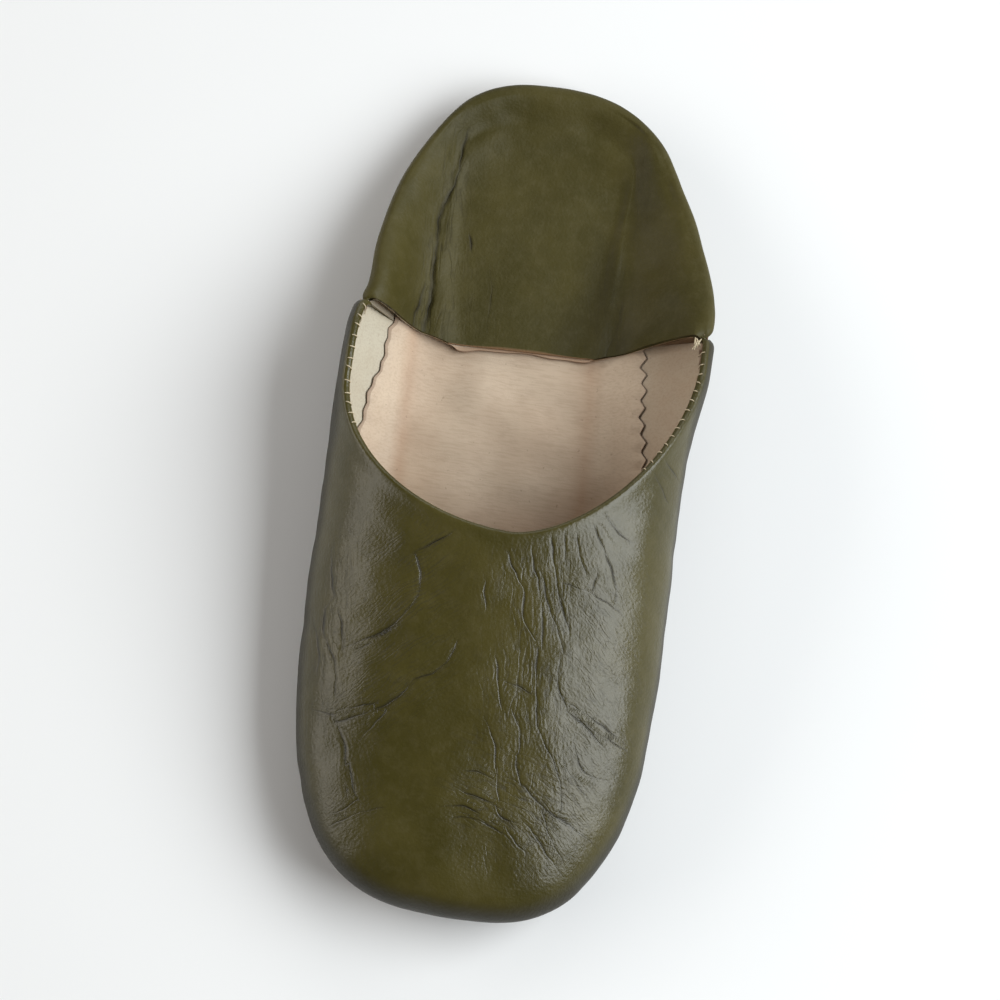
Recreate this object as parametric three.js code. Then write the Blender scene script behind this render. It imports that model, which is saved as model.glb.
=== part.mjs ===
// Left babouche slipper with its heel folded down, standing empty on its sole.
// Millimetres, +Z up. The toe points to -Y and the medial side (big toe) is at -X.
// Four cut pieces: outsole, insole sock, vamp and heel quarter. All of them are worked out
// from one last: a table of sections along the shoe, and a throat cut across it.

import * as THREE from "three";
import { mergeVertices } from "three/addons/utils/BufferGeometryUtils.js";

// ---- Driving dimensions -------------------------------------------------------------------

const LENGTH = 262; // over the upper, heel back to toe tip
const OUTSOLE = 3.0; // thickness of the leather sole
const WALL = 1.8; // upper leather and its lining together
const SOCK = 1.2; // insole sock leather
const GAP = 0.35; // between pieces that lie on each other
const TOE_SPRING = 4.0; // lift of the sole under the toe tip
const ARCH = 1.0; // lift of the sole under the waist
const BACK_OVERHANG = 5.5; // how far the upper stands out past the sole at the heel back
const TOE_OVERHANG = 6.5; // the same at the toe tip
const CORNER = { medial: 0.321, lateral: 0.299 }; // side seams, as shares of the length
const SEAM_GAP = 0.0012; // half of the gap at a side seam, as a share of the length

// The last, one row for each section. share: from heel back (0) to toe tip (1).
// centre, half: middle and half width of the upper at its widest. widest: height of that line.
// instep: height of the top line, soleCentre, soleHalf: the sole. hull: how round the wall is
// below its widest line (1 straight, 2 an ellipse). sock: height of the sock's side edge.
const COLUMNS = [
  "share", "centre", "half", "widest", "instep",
  "soleCentre", "soleHalf", "hull", "medialSock", "lateralSock",
];
const SECTIONS = [
  [0.0, -0.4, 51.5, 9.5, 32, 0.0, 32.0, 1.9, 8.0, 8.0],
  [0.08, -0.2, 48.2, 11.5, 32, -0.6, 32.0, 1.7, 8.5, 8.0],
  [0.16, 0.6, 49.7, 15.5, 32, -1.4, 31.8, 1.45, 11.0, 8.5],
  [0.24, 2.3, 52.1, 21.5, 32, -2.2, 31.6, 1.25, 12.0, 9.0],
  [0.3, 2.9, 52.8, 26.0, 34, -2.6, 31.4, 1.18, 12.5, 9.5],
  [0.33, 1.5, 54.3, 27.3, 38, -2.7, 31.4, 1.18, 12.5, 9.8],
  [0.36, 0.8, 54.8, 28.0, 44, -2.8, 31.6, 1.18, 12.5, 10.0],
  [0.42, -0.3, 53.7, 25.5, 52, -2.6, 32.8, 1.3, 12.5, 10.5],
  [0.5, -0.2, 53.1, 20.5, 52.4, -1.2, 37.0, 1.55, 12.0, 10.5],
  [0.6, 0.6, 53.4, 16.5, 48.4, 0.2, 41.6, 1.85, 11.5, 10.0],
  [0.72, 1.5, 53.6, 14.5, 41.6, 1.0, 44.2, 2.0, 9.5, 9.0],
  [0.86, 2.5, 54.2, 13.2, 34.6, 1.9, 45.0, 2.0, 8.5, 8.5],
  [1.0, 2.9, 54.6, 12.2, 30.5, 2.3, 45.0, 2.0, 8.0, 8.0],
].map((row) => Object.fromEntries(row.map((value, i) => [COLUMNS[i], value])));

// Round ends: from which share the width closes in, and how square the curve is (2 an ellipse).
const ROUND = {
  upperHeel: { from: 0.3, power: 2.45 },
  upperToe: { from: 0.6, power: 2.95 },
  soleHeel: { from: 0.15, power: 2.3 },
  soleToe: { from: 0.62, power: 2.7 },
  instepToe: { from: 0.76, power: 2.3 },
};
const DOME = 2.25; // how square the vamp's top is across the foot (2 an ellipse)

// The throat: arms that run beside the topline, then a deep U across the instep.
const THROAT = {
  inset: 1.8, // from the widest line to the edge, along the arms
  front: 0.591, // share where the U is deepest
  frontX: 3.0,
  medialArm: 0.415, // share where the arm ends and the U begins
  lateralArm: 0.34,
  armPart: 0.22, // part of each half of the edge that is arm
  medialPower: 2.0, // how square the U is
  lateralPower: 1.7,
};
const BEAD = { thick: 1.1, reach: 2.6 }; // the rolled edge of the throat

// The folded heel quarter.
const FOLD = {
  radius: 3.0, // round of the fold, outside
  rim: 8.9, // height of the flap's face where it passes the raised rim of the sock
  sag: 1.9, // how much lower it lies inside the rim, on the sock
  sagRun: 11, // over this distance
  valley: { medial: 30, lateral: 25 }, // x where the flap's sides come down on the sock
  shortest: 13, // the least distance from the fold to where the flap lies flat
  soft: 5, // how gently those two meet
  front: 0.3275, // share of the flap's front edge, in the middle
  frontLean: 1.25, // how much further back the front edge ends on the lateral side, half of it
  landing: 22, // half width of the stretch of front edge where the flap's rows end
};

// ---- Small helpers ------------------------------------------------------------------------

const { clamp, lerp } = THREE.MathUtils;
const RIGHT_ANGLE = Math.PI / 2;

// A smooth curve through one column of SECTIONS (cubic, with the slope of each row's neighbours).
function column(name) {
  const slope = (i) => {
    const a = SECTIONS[Math.max(i - 1, 0)];
    const b = SECTIONS[Math.min(i + 1, SECTIONS.length - 1)];
    return (b[name] - a[name]) / (b.share - a.share);
  };
  return (share) => {
    const last = SECTIONS.length - 2;
    const i = clamp(SECTIONS.findIndex((row) => row.share > share) - 1, 0, last);
    const k = share >= 1 ? last : i;
    const [a, b] = [SECTIONS[k], SECTIONS[k + 1]];
    const width = b.share - a.share;
    const t = clamp((share - a.share) / width, 0, 1);
    const [t2, t3] = [t * t, t * t * t];
    return (
      a[name] * (2 * t3 - 3 * t2 + 1) +
      b[name] * (3 * t2 - 2 * t3) +
      slope(k) * width * (t3 - 2 * t2 + t) +
      slope(k + 1) * width * (t3 - t2)
    );
  };
}

const centreAt = column("centre");
const halfAt = column("half");
const widestAt = column("widest");
const instepAt = column("instep");
const soleCentreAt = column("soleCentre");
const soleHalfAt = column("soleHalf");
const hullAt = column("hull");
const sockAt = { medial: column("medialSock"), lateral: column("lateralSock") };

// 1 along the shoe, closing to 0 at an end as a superellipse does.
function closing(share, { from, power }, end) {
  const reach = end > from ? (share - from) / (end - from) : (from - share) / (from - end);
  return Math.pow(1 - Math.pow(clamp(reach, 0, 1), power), 1 / power);
}

const smoothMax = (a, b, soft) => (a + b + Math.hypot(a - b, soft)) / 2;
const ease = (part) => (1 - Math.cos(Math.PI * part)) / 2;
const yOf = (share) => LENGTH / 2 - share * LENGTH;
const shareOf = (y) => (LENGTH / 2 - y) / LENGTH;

// How far the sole is lifted off the floor: toe spring and arch.
function liftAt(y) {
  const share = shareOf(y);
  const toe = clamp((share - 0.8) / 0.2, 0, 1);
  const waist = clamp((share - 0.3) / 0.26, 0, 1);
  return TOE_SPRING * toe * toe + ARCH * Math.pow(Math.sin(Math.PI * waist), 2);
}

// Half width of the upper at its widest, on either side of its centre.
const upperHalf = (share) =>
  halfAt(share) * closing(share, ROUND.upperHeel, 0) * closing(share, ROUND.upperToe, 1);

// A point of the upper's outline in plan. side is -1 medial, 1 lateral.
const upperEdge = (share, side) =>
  new THREE.Vector3(centreAt(share) + side * upperHalf(share), yOf(share), 0);

// The point of the sole's outline that lies under it.
function soleEdge(share, side) {
  const half =
    soleHalfAt(share) * closing(share, ROUND.soleHeel, 0) * closing(share, ROUND.soleToe, 1);
  const y = LENGTH / 2 - BACK_OVERHANG - share * (LENGTH - BACK_OVERHANG - TOE_OVERHANG);
  return new THREE.Vector3(soleCentreAt(share) + side * half, y, 0);
}

// The wall between the sole seam (down = 1) and the widest line (down = 0), outside face.
function hull(share, side, down) {
  const out = upperEdge(share, side);
  const seam = soleEdge(share, side);
  const bend = 2 / hullAt(share);
  const angle = clamp(down, 0, 1) * RIGHT_ANGLE;
  const point = seam.lerp(out, Math.pow(Math.cos(angle), bend));
  const bottom = OUTSOLE + GAP;
  point.z = widestAt(share) - (widestAt(share) - bottom) * Math.pow(Math.sin(angle), bend);
  return point;
}

// How far down the wall a height lies, as hull() counts it.
function downAt(share, height) {
  const drop = (widestAt(share) - height) / (widestAt(share) - OUTSOLE - GAP);
  return Math.asin(Math.pow(clamp(drop, 0, 1), hullAt(share) / 2)) / RIGHT_ANGLE;
}

// Height of the vamp's top face over a point in plan.
function domeZ(x, y) {
  const share = clamp(shareOf(y), 0, 1);
  const across = clamp(Math.abs(x - centreAt(share)) / Math.max(upperHalf(share), 1e-6), 0, 1);
  const rise = (instepAt(share) - widestAt(share)) * closing(share, ROUND.instepToe, 1);
  return widestAt(share) + rise * Math.pow(1 - Math.pow(across, DOME), 1 / DOME);
}

// A plan curve that can be walked at an even pace.
class PlanCurve extends THREE.Curve {
  constructor(at) {
    super();
    this.at = at;
    this.arcLengthDivisions = 600;
  }

  getPoint(t) {
    return this.at(t);
  }
}

// ---- Grids and closed meshes --------------------------------------------------------------

// rows x columns of points from a function of two shares, 0 to 1 each.
function grid(rows, columns, at) {
  return Array.from({ length: rows + 1 }, (_, i) =>
    Array.from({ length: columns + 1 }, (_, j) => at(i / rows, j / columns)),
  );
}

// Unit normals of a grid, into the shoe, by differences of the neighbours.
// loop: the rows close on themselves. Otherwise both ends are cut square, at the side seams.
function normals(points, loop = false) {
  const rows = points.length;
  const wrap = (i) => (loop ? (i + rows - 1) % (rows - 1) : clamp(i, 0, rows - 1));
  return points.map((row, i) =>
    row.map((_, j) => {
      const along = points[wrap(i + 1)][j].clone().sub(points[wrap(i - 1)][j]);
      const across = row[Math.min(j + 1, row.length - 1)].clone().sub(row[Math.max(j - 1, 0)]);
      const normal = along.cross(across);
      if (!loop && (i === 0 || i === rows - 1)) normal.y = 0;
      return normal.normalize();
    }),
  );
}

// The second face of a wall: each point moved along its normal by depth(i, j).
function offset(points, facing, depth) {
  return points.map((row, i) =>
    row.map((p, j) => p.clone().addScaledVector(facing[i][j], depth(i, j))),
  );
}

// One closed mesh from two faces of the same size, joined along their borders.
// ring: the rows run round the shoe and their last column closes on itself, so only the first
// column has a border.
function shell(front, back, ring = false) {
  const rows = front.length;
  const columns = front[0].length;
  const points = [...front.flat(), ...back.flat()];
  const position = points.flatMap((p) => [p.x, p.y, p.z + liftAt(p.y)]);
  const at = (face, i, j) => face * rows * columns + i * columns + j;
  const index = [];
  const quad = (a, b, c, d) => index.push(a, b, c, a, c, d);
  for (let i = 0; i < rows - 1; i++) {
    for (let j = 0; j < columns - 1; j++) {
      quad(at(0, i, j), at(0, i + 1, j), at(0, i + 1, j + 1), at(0, i, j + 1));
      quad(at(1, i, j), at(1, i, j + 1), at(1, i + 1, j + 1), at(1, i + 1, j));
    }
    quad(at(0, i, 0), at(1, i, 0), at(1, i + 1, 0), at(0, i + 1, 0));
    const end = columns - 1;
    if (!ring) quad(at(0, i, end), at(0, i + 1, end), at(1, i + 1, end), at(1, i, end));
  }
  for (let j = 0; j < columns - 1 && !ring; j++) {
    quad(at(0, 0, j), at(0, 0, j + 1), at(1, 0, j + 1), at(1, 0, j));
    const end = rows - 1;
    quad(at(0, end, j), at(1, end, j), at(1, end, j + 1), at(0, end, j + 1));
  }
  return closed(position, index);
}

// A geometry with its doubles merged, its collapsed triangles dropped and its faces outwards.
function closed(position, index) {
  const loose = new THREE.BufferGeometry();
  loose.setAttribute("position", new THREE.Float32BufferAttribute(position, 3));
  loose.setIndex(index);
  const geometry = mergeVertices(loose, 2e-3);
  const triangles = [];
  const corners = Array.from(geometry.index.array);
  for (let k = 0; k < corners.length; k += 3) {
    const [a, b, c] = corners.slice(k, k + 3);
    if (a !== b && b !== c && c !== a) triangles.push([a, b, c]);
  }
  const point = (i) => new THREE.Vector3().fromBufferAttribute(geometry.attributes.position, i);
  const volume = triangles.reduce(
    (sum, [a, b, c]) => sum + point(a).dot(point(b).cross(point(c))) / 6,
    0,
  );
  geometry.setIndex(triangles.flatMap(([a, b, c]) => (volume > 0 ? [a, b, c] : [a, c, b])));
  geometry.computeVertexNormals();
  return geometry;
}

// ---- Vamp ---------------------------------------------------------------------------------

// Walks a half outline from one corner over the tip to the other: share along the shoe and side.
function around(t, cornerShift, tip) {
  const side = t < 0.5 ? -1 : 1;
  const corner = (side < 0 ? CORNER.medial : CORNER.lateral) + cornerShift;
  return { share: lerp(corner, tip, Math.sin(Math.PI * clamp(t, 0, 1))), side };
}

const vampOutline = new PlanCurve((t) => {
  const { share, side } = around(t, SEAM_GAP, 1);
  return upperEdge(share, side);
});

// The throat edge in plan, from the medial corner over the instep to the lateral corner.
const throatEdge = new PlanCurve((t) => {
  const side = t < 0.5 ? -1 : 1;
  const walked = t < 0.5 ? 2 * t : 2 - 2 * t;
  const corner = (side < 0 ? CORNER.medial : CORNER.lateral) + SEAM_GAP;
  const armEnd = side < 0 ? THROAT.medialArm : THROAT.lateralArm;
  const armX = (share) => centreAt(share) + side * (upperHalf(share) - THROAT.inset);
  if (walked < THROAT.armPart) {
    const share = lerp(corner, armEnd, walked / THROAT.armPart);
    return new THREE.Vector3(armX(share), yOf(share), 0);
  }
  const angle = ((walked - THROAT.armPart) / (1 - THROAT.armPart)) * RIGHT_ANGLE;
  const bend = 2 / (side < 0 ? THROAT.medialPower : THROAT.lateralPower);
  const share = lerp(armEnd, THROAT.front, Math.pow(Math.sin(angle), bend));
  const x = lerp(THROAT.frontX, armX(armEnd), Math.pow(Math.max(Math.cos(angle), 0), bend));
  return new THREE.Vector3(x, yOf(share), 0);
});

const VAMP_AROUND = 54;
const VAMP_TOP_ROWS = 10;
const VAMP_LOW_ROWS = 5;

// Where a point in plan lies between the middle (0) and the outline (-1 medial, 1 lateral).
function acrossAt(point) {
  const share = clamp(shareOf(point.y), 0, 1);
  return (point.x - centreAt(share)) / upperHalf(share);
}

// Outside of the vamp: rows fan out from the throat to the widest line, then go down to the seam.
// Beside the throat a row follows the outline; towards the toe it runs straight in plan.
function vampFace() {
  const rows = VAMP_TOP_ROWS + VAMP_LOW_ROWS;
  return grid(VAMP_AROUND, rows, (t, v) => {
    const out = vampOutline.getPointAt(t);
    const row = v * rows;
    if (row > VAMP_TOP_ROWS + 1e-6) {
      const down = (row - VAMP_TOP_ROWS) / VAMP_LOW_ROWS;
      return hull(shareOf(out.y), t < 0.5 ? -1 : 1, down);
    }
    const reach = Math.sin((row / VAMP_TOP_ROWS) * RIGHT_ANGLE);
    const from = throatEdge.getPointAt(t);
    const across = lerp(acrossAt(from), Math.sign(t - 0.5), reach);
    const point = from.lerp(out, reach);
    const share = clamp(shareOf(point.y), 0, 1);
    const followed = centreAt(share) + across * upperHalf(share);
    point.x = lerp(followed, point.x, ease(clamp(4 * Math.min(t, 1 - t) - 0.5, 0, 1)));
    point.z = domeZ(point.x, point.y);
    return point;
  });
}

function vamp() {
  const face = vampFace();
  const facing = normals(face);
  const bead = (i, j) => {
    const fromEdge = face[i][j].distanceTo(face[i][0]);
    return BEAD.thick * Math.exp(-Math.pow(fromEdge / BEAD.reach, 2));
  };
  const outside = offset(face, facing, (i, j) => -0.4 * bead(i, j));
  const inside = offset(face, facing, (i, j) => WALL + 0.6 * bead(i, j));
  return shell(outside, inside);
}

// ---- Heel quarter -------------------------------------------------------------------------

const heelOutline = new PlanCurve((t) => {
  const { share, side } = around(t, -SEAM_GAP, 0);
  return upperEdge(share, side);
});

const HEEL_AROUND = 42;
const HEEL_WALL_ROWS = 5;
const HEEL_FLAP_ROWS = 13;

// Where a row of the flap ends, on its front edge.
function landing(t) {
  const across = 2 * t - 1;
  return new THREE.Vector3(across * FOLD.landing - 1, yOf(FOLD.front) + across * FOLD.frontLean, 0);
}

// Outside of the quarter: up the wall, round the fold, and down and forward over the sock.
function heelFace() {
  const rows = HEEL_WALL_ROWS + HEEL_FLAP_ROWS;
  return grid(HEEL_AROUND, rows, (t, v) => {
    const out = heelOutline.getPointAt(t);
    const side = t < 0.5 ? -1 : 1;
    const share = shareOf(out.y);
    const row = v * rows;
    if (row < HEEL_WALL_ROWS - 1e-6) return hull(share, side, 1 - row / HEEL_WALL_ROWS);
    const end = landing(t);
    const way = end.clone().sub(out);
    const length = way.length();
    way.normalize();
    const valley = side < 0 ? FOLD.valley.medial : FOLD.valley.lateral;
    const toValley = (Math.abs(out.x) - valley) / Math.max(Math.abs(way.x), 0.35);
    const flat = smoothMax(toValley, FOLD.shortest, FOLD.soft);
    const walked = flapDistance((row - HEEL_WALL_ROWS) / HEEL_FLAP_ROWS, flat, length);
    const point = out.clone().addScaledVector(way, walked);
    const k = walked / length;
    point.y = lerp(out.y, end.y, lerp(k, k * k, way.x * way.x)); // leaves the seam square
    point.z = flapZ(walked, flat, widestAt(share));
    return point;
  });
}

// How far from the fold's outside a row of the flap lies: close rows round the fold, then wider.
function flapDistance(part, flat, length) {
  const foldPart = 0.23;
  const flankPart = 0.68;
  if (part < foldPart) return FOLD.radius * (1 - Math.cos((part / foldPart) * RIGHT_ANGLE));
  if (part < flankPart) {
    return lerp(FOLD.radius, flat, (part - foldPart) / (flankPart - foldPart));
  }
  return lerp(flat, length, (part - flankPart) / (1 - flankPart));
}

// Height of the flap's face at a distance from the fold's outside.
function flapZ(walked, flat, foldFoot) {
  const crest = foldFoot + FOLD.radius;
  if (walked < FOLD.radius) {
    return foldFoot + Math.sqrt(Math.max(0, FOLD.radius ** 2 - (FOLD.radius - walked) ** 2));
  }
  const part = clamp((walked - FOLD.radius) / (flat - FOLD.radius), 0, 1);
  const sunk = clamp((walked - flat) / FOLD.sagRun, 0, 1);
  return FOLD.rim + (crest - FOLD.rim) * ease(1 - part) - FOLD.sag * ease(sunk);
}

function heelQuarter() {
  const face = heelFace();
  return shell(face, offset(face, normals(face), () => WALL));
}

// ---- Sole and sock: rings that run round the shoe and close on its middle line --------------

const LOOP = 64;

// Share and side at a place round the shoe: heel back, medial side, toe tip, lateral side.
function roundShoe(c) {
  return { share: (1 - Math.cos(2 * Math.PI * c)) / 2, side: c < 0.5 ? -1 : 1 };
}

// The middle line that rings close on. It stops short of the ends, where the rings fan out.
function middle(share) {
  const held = clamp(share, 0.12, 0.86);
  const end = soleEdge(held, 1);
  return new THREE.Vector3(soleCentreAt(held), end.y, 0);
}

function outsole() {
  const inward = [0, 0.02, 0.25, 0.5, 0.75, 1];
  const face = (height, inset) =>
    grid(LOOP, inward.length, (c, v) => {
      const { share, side } = roundShoe(c);
      const k = Math.round(v * inward.length);
      const edge = soleEdge(share, side);
      const core = middle(share);
      const bevel = Math.min(inset / Math.max(edge.distanceTo(core), 1e-6), 1);
      const part = k === 0 ? 0 : lerp(bevel, 1, inward[k - 1]);
      const point = edge.lerp(core, part);
      point.z = k === 0 ? OUTSOLE / 2 + Math.sign(height - 1) * 0.6 : height;
      return point;
    });
  return shell(face(0, 0.7), face(OUTSOLE, 0.5), true);
}

const SOCK_SIDE_ROWS = 3;
const SOCK_RIM = 5.5; // width of the strip where the sock steps down off the upper's turned edge

function insoleSock() {
  const steps = [0.3, 0.65, 1];
  const floorRows = [1 / 3, 2 / 3, 1];
  const columns = SOCK_SIDE_ROWS + steps.length + floorRows.length;
  const wallFace = grid(LOOP, SOCK_SIDE_ROWS, (c, v) => {
    const { share, side } = roundShoe(c);
    const edge = downAt(share, side < 0 ? sockAt.medial(share) : sockAt.lateral(share));
    return hull(share, side, lerp(edge, 0.985, v));
  });
  const facing = normals(wallFace, true);
  const face = (clear) =>
    grid(LOOP, columns, (c, v) => {
      const { share } = roundShoe(c);
      const i = Math.round(c * LOOP);
      const k = Math.round(v * columns);
      const wall = Math.min(k, SOCK_SIDE_ROWS);
      const point = wallFace[i][wall].clone().addScaledVector(facing[i][wall], clear + WALL);
      if (k <= SOCK_SIDE_ROWS) return point;
      const core = middle(share);
      const rimPart = SOCK_RIM / point.distanceTo(core.clone().setZ(point.z));
      const low = OUTSOLE + clear;
      const step = k - SOCK_SIDE_ROWS - 1;
      if (step < steps.length) {
        const z = lerp(point.z, low, ease(steps[step]));
        return point.lerp(core.setZ(point.z), rimPart * steps[step]).setZ(z);
      }
      const part = lerp(rimPart, 1, floorRows[step - steps.length]);
      return point.lerp(core.setZ(point.z), part).setZ(low);
    });
  return shell(face(GAP), face(GAP + SOCK), true);
}

// ---- Materials and assembly ---------------------------------------------------------------

const oliveLeather = new THREE.MeshStandardMaterial({ color: 0x4b4522, roughness: 0.42, metalness: 0 });
const sockLeather = new THREE.MeshStandardMaterial({ color: 0xb9a48c, roughness: 0.6, metalness: 0 });
const soleLeather = new THREE.MeshStandardMaterial({ color: 0xa9805a, roughness: 0.7, metalness: 0 });

function piece(name, geometry, material) {
  const mesh = new THREE.Mesh(geometry, material);
  mesh.name = name;
  return mesh;
}

const slipper = new THREE.Group();
slipper.add(
  piece("outsole", outsole(), soleLeather),
  piece("insole_sock", insoleSock(), sockLeather),
  piece("upper_vamp", vamp(), oliveLeather),
  piece("upper_heel_quarter", heelQuarter(), oliveLeather),
);

// The frame's origin: the middle of the slipper's box in plan, on the floor.
const box = new THREE.Box3().setFromObject(slipper);
const middleOfBox = box.getCenter(new THREE.Vector3()).setZ(box.min.z);
for (const mesh of slipper.children) mesh.geometry.translate(...middleOfBox.clone().negate().toArray());

export default slipper;
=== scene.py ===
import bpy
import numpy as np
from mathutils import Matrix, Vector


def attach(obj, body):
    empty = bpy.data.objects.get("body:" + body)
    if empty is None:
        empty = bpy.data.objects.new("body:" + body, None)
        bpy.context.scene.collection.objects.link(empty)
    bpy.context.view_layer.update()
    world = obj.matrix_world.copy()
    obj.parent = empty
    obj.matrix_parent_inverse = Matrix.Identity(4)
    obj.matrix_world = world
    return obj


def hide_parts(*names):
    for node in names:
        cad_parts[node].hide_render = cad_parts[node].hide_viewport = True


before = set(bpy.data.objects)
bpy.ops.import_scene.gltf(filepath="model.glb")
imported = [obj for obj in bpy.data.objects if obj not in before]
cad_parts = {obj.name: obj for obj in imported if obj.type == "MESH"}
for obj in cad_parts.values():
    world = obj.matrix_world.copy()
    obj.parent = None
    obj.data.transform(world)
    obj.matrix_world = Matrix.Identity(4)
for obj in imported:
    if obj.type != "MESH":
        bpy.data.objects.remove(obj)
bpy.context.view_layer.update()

# The look of a left babouche slipper: olive upper, heel folded down, natural leather inside.
# Shapes are worked out in millimetres, toe at -Y and medial side at -X, and become metres
# when a mesh is made. The same last as the part's is used, on a much finer grid.

MM = 0.001
TAU = 2 * np.pi
scene = bpy.context.scene

# ---- The last ----

LENGTH = 262.0
OUTSOLE = 3.0  # thickness of the sole
WALL = 1.8  # upper leather and lining together
SOCK = 1.2  # thickness of the sock
GAP = 0.35  # between pieces that lie on each other
TOE_SPRING = 4.0  # how far the toe is lifted
ARCH = 1.0  # how far the waist is lifted
BACK_OVERHANG = 5.5  # how far the upper stands out past the sole at the back
TOE_OVERHANG = 6.5  # the same at the toe
CORNER = {-1: 0.321, 1: 0.299}  # share of the side seams: medial, lateral
SEAM_GAP = 0.0012  # half of the gap at a side seam, as a share of the length

COLUMNS = "share centre half widest instep sole_centre sole_half hull medial_sock lateral_sock"
SECTIONS = np.array([
    [0.00, -0.4, 51.5, 9.5, 32.0, 0.0, 32.0, 1.90, 8.0, 8.0],
    [0.08, -0.2, 48.2, 11.5, 32.0, -0.6, 32.0, 1.70, 8.5, 8.0],
    [0.16, 0.6, 49.7, 15.5, 32.0, -1.4, 31.8, 1.45, 11.0, 8.5],
    [0.24, 2.3, 52.1, 21.5, 32.0, -2.2, 31.6, 1.25, 12.0, 9.0],
    [0.30, 2.9, 52.8, 26.0, 34.0, -2.6, 31.4, 1.18, 12.5, 9.5],
    [0.33, 1.5, 54.3, 27.3, 38.0, -2.7, 31.4, 1.18, 12.5, 9.8],
    [0.36, 0.8, 54.8, 28.0, 44.0, -2.8, 31.6, 1.18, 12.5, 10.0],
    [0.42, -0.3, 53.7, 25.5, 52.0, -2.6, 32.8, 1.30, 12.5, 10.5],
    [0.50, -0.2, 53.1, 20.5, 52.4, -1.2, 37.0, 1.55, 12.0, 10.5],
    [0.60, 0.6, 53.4, 16.5, 48.4, 0.2, 41.6, 1.85, 11.5, 10.0],
    [0.72, 1.5, 53.6, 14.5, 41.6, 1.0, 44.2, 2.00, 9.5, 9.0],
    [0.86, 2.5, 54.2, 13.2, 34.6, 1.9, 45.0, 2.00, 8.5, 8.5],
    [1.00, 2.9, 54.6, 12.2, 30.5, 2.3, 45.0, 2.00, 8.0, 8.0],
])
ROUND = {  # which share the width closes in from, how square the curve is, and the end
    "upper_heel": (0.30, 2.45, 0.0),
    "upper_toe": (0.60, 2.95, 1.0),
    "sole_heel": (0.15, 2.30, 0.0),
    "sole_toe": (0.62, 2.70, 1.0),
    "instep_toe": (0.76, 2.30, 1.0),
}
DOME = 2.25  # how square the vamp is across the foot; 2 is an ellipse
# The throat: how far in from the outline, its frontmost share and x, where its arms end, how
# square the curve is, and the part of the half edge that is arm. Pairs are medial, lateral.
THROAT_INSET, THROAT_FRONT, THROAT_X = 1.8, 0.591, 3.0
THROAT_ARM = {-1: 0.415, 1: 0.34}
THROAT_POWER = {-1: 2.0, 1: 1.7}
ARM_PART = 0.22
# The fold: radius at the top, height of the flap at the sock's rim, how deep and over what
# run it sags, x of the valley at its foot, shortest flank, softness of that limit, and the
# front edge: its share in the middle, its lean and its half width where it lands.
FOLD_RADIUS, FOLD_RIM, FOLD_SAG, FOLD_SAG_RUN = 3.0, 8.9, 1.9, 11.0
FOLD_VALLEY = {-1: 30.0, 1: 25.0}
FOLD_SHORTEST, FOLD_SOFT = 13.0, 5.0
FOLD_FRONT, FOLD_FRONT_LEAN, FOLD_LANDING = 0.3275, 1.25, 22.0


def column(name, share):
    """Cubic through one column of the table; each row's slope is that between its neighbours."""
    rows, values = SECTIONS[:, 0], SECTIONS[:, COLUMNS.split().index(name)]
    index = np.arange(len(rows))
    low, high = np.maximum(index - 1, 0), np.minimum(index + 1, len(rows) - 1)
    slope = (values[high] - values[low]) / (rows[high] - rows[low])
    k = np.clip(np.searchsorted(rows, share, side="right") - 1, 0, len(rows) - 2)
    width = rows[k + 1] - rows[k]
    t = np.clip((share - rows[k]) / width, 0, 1)
    return (values[k] * (2 * t**3 - 3 * t**2 + 1) + values[k + 1] * (3 * t**2 - 2 * t**3)
            + slope[k] * width * (t**3 - 2 * t**2 + t) + slope[k + 1] * width * (t**3 - t**2))


def closing(share, end_name):
    """1 along the shoe, falling to 0 at one end as a superellipse does."""
    start, power, end = ROUND[end_name]
    reach = np.clip((share - start) / (end - start), 0, 1)
    return (1 - reach**power) ** (1 / power)


def ease(part):
    """0 to 1 as half a cosine wave."""
    return (1 - np.cos(np.pi * np.clip(part, 0, 1))) / 2


def mix(a, b, part):
    """Part of the way from a to b."""
    return a + (b - a) * part


def y_of(share):
    """A share is 0 at the back of the heel and 1 at the toe tip."""
    return LENGTH / 2 - share * LENGTH


def share_of(y):
    return np.clip((LENGTH / 2 - y) / LENGTH, 0, 1)


def by_side(side, pair):
    """The medial value where side is -1, the lateral one where it is 1."""
    return np.where(side < 0, pair[-1], pair[1])


def lift(y):
    """Toe spring as a parabola over the last fifth, and the arch as a squared sine at the waist."""
    toe = np.clip((share_of(y) - 0.8) / 0.2, 0, 1)
    waist = np.clip((share_of(y) - 0.3) / 0.26, 0, 1)
    return TOE_SPRING * toe**2 + ARCH * np.sin(np.pi * waist) ** 2


def upper_half(share):
    """Half width of the upper, closed in at heel and toe."""
    return column("half", share) * closing(share, "upper_heel") * closing(share, "upper_toe")


def upper_edge(share, side):
    """The upper's outline in plan: middle line plus or minus the half width."""
    return np.stack([column("centre", share) + side * upper_half(share), y_of(share)], -1)


def sole_edge(share, side):
    """The sole's outline in plan, on a line shorter than the upper by the two overhangs."""
    half = column("sole_half", share) * closing(share, "sole_heel") * closing(share, "sole_toe")
    y = LENGTH / 2 - BACK_OVERHANG - share * (LENGTH - BACK_OVERHANG - TOE_OVERHANG)
    return np.stack([column("sole_centre", share) + side * half, y], -1)


def hull(share, side, down):
    """The wall between sole seam (1) and widest line (0): a superellipse quarter in x-y and z."""
    angle = np.clip(down, 0, 1) * np.pi / 2
    bend = 2 / column("hull", share)
    plan = mix(sole_edge(share, side), upper_edge(share, side), (np.cos(angle) ** bend)[..., None])
    widest = column("widest", share)
    z = widest - (widest - OUTSOLE - GAP) * np.sin(angle) ** bend
    return np.concatenate([plan, z[..., None]], -1)


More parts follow.
